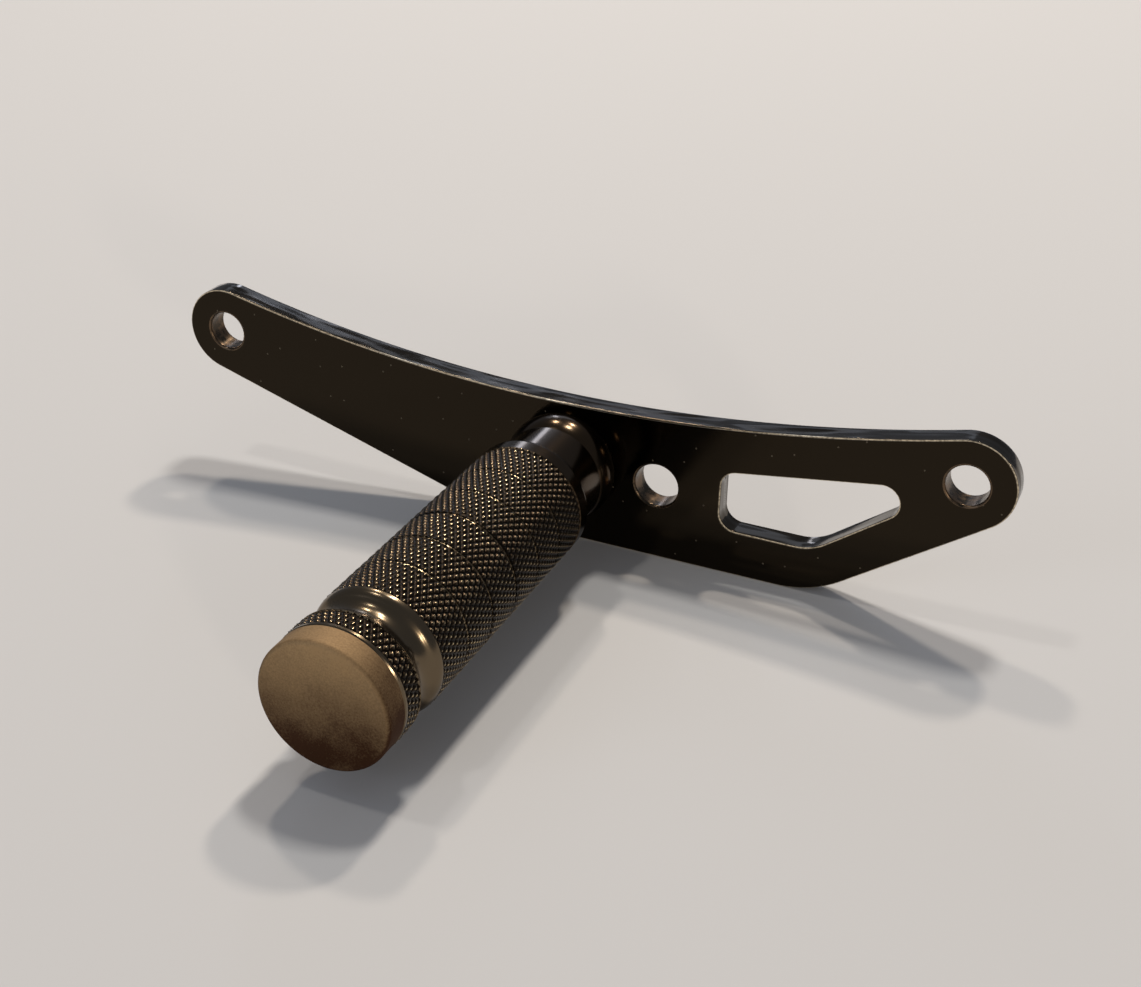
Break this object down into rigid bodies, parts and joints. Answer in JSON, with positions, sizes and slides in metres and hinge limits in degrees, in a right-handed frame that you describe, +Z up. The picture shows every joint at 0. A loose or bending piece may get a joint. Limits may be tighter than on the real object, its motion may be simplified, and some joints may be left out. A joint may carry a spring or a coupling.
{
  "type": "motorbike shift lock peg",
  "caption": "Flat steel bracket with a bolt hole in each rounded end, a lightening window, and a knurled steel peg with ring grooves and an end cap standing out of its face.",
  "frame": {"origin": "midway between the two end bolt holes, on the plate's back face", "axes": "X along the line of the two end holes, the window on the +X side; Y through the plate, the peg standing out towards -Y; +Z up, towards the hollow top edge"},
  "size_m": [0.2266, 0.1255, 0.0502],
  "materials": {
    "plate_black": "polished black nickel plate on steel",
    "peg_black": "black nickel plate on turned and knurled steel",
    "cap_blasted": "fine bead-blasted, left bare",
    "screw_black": "black oxide"
  },
  "bodies": {
    "root": {"bracket_plate": "plate_black", "knurled_peg": "peg_black", "end_cap": "cap_blasted", "peg_screw": "screw_black"}
  },
  "joints": []
}
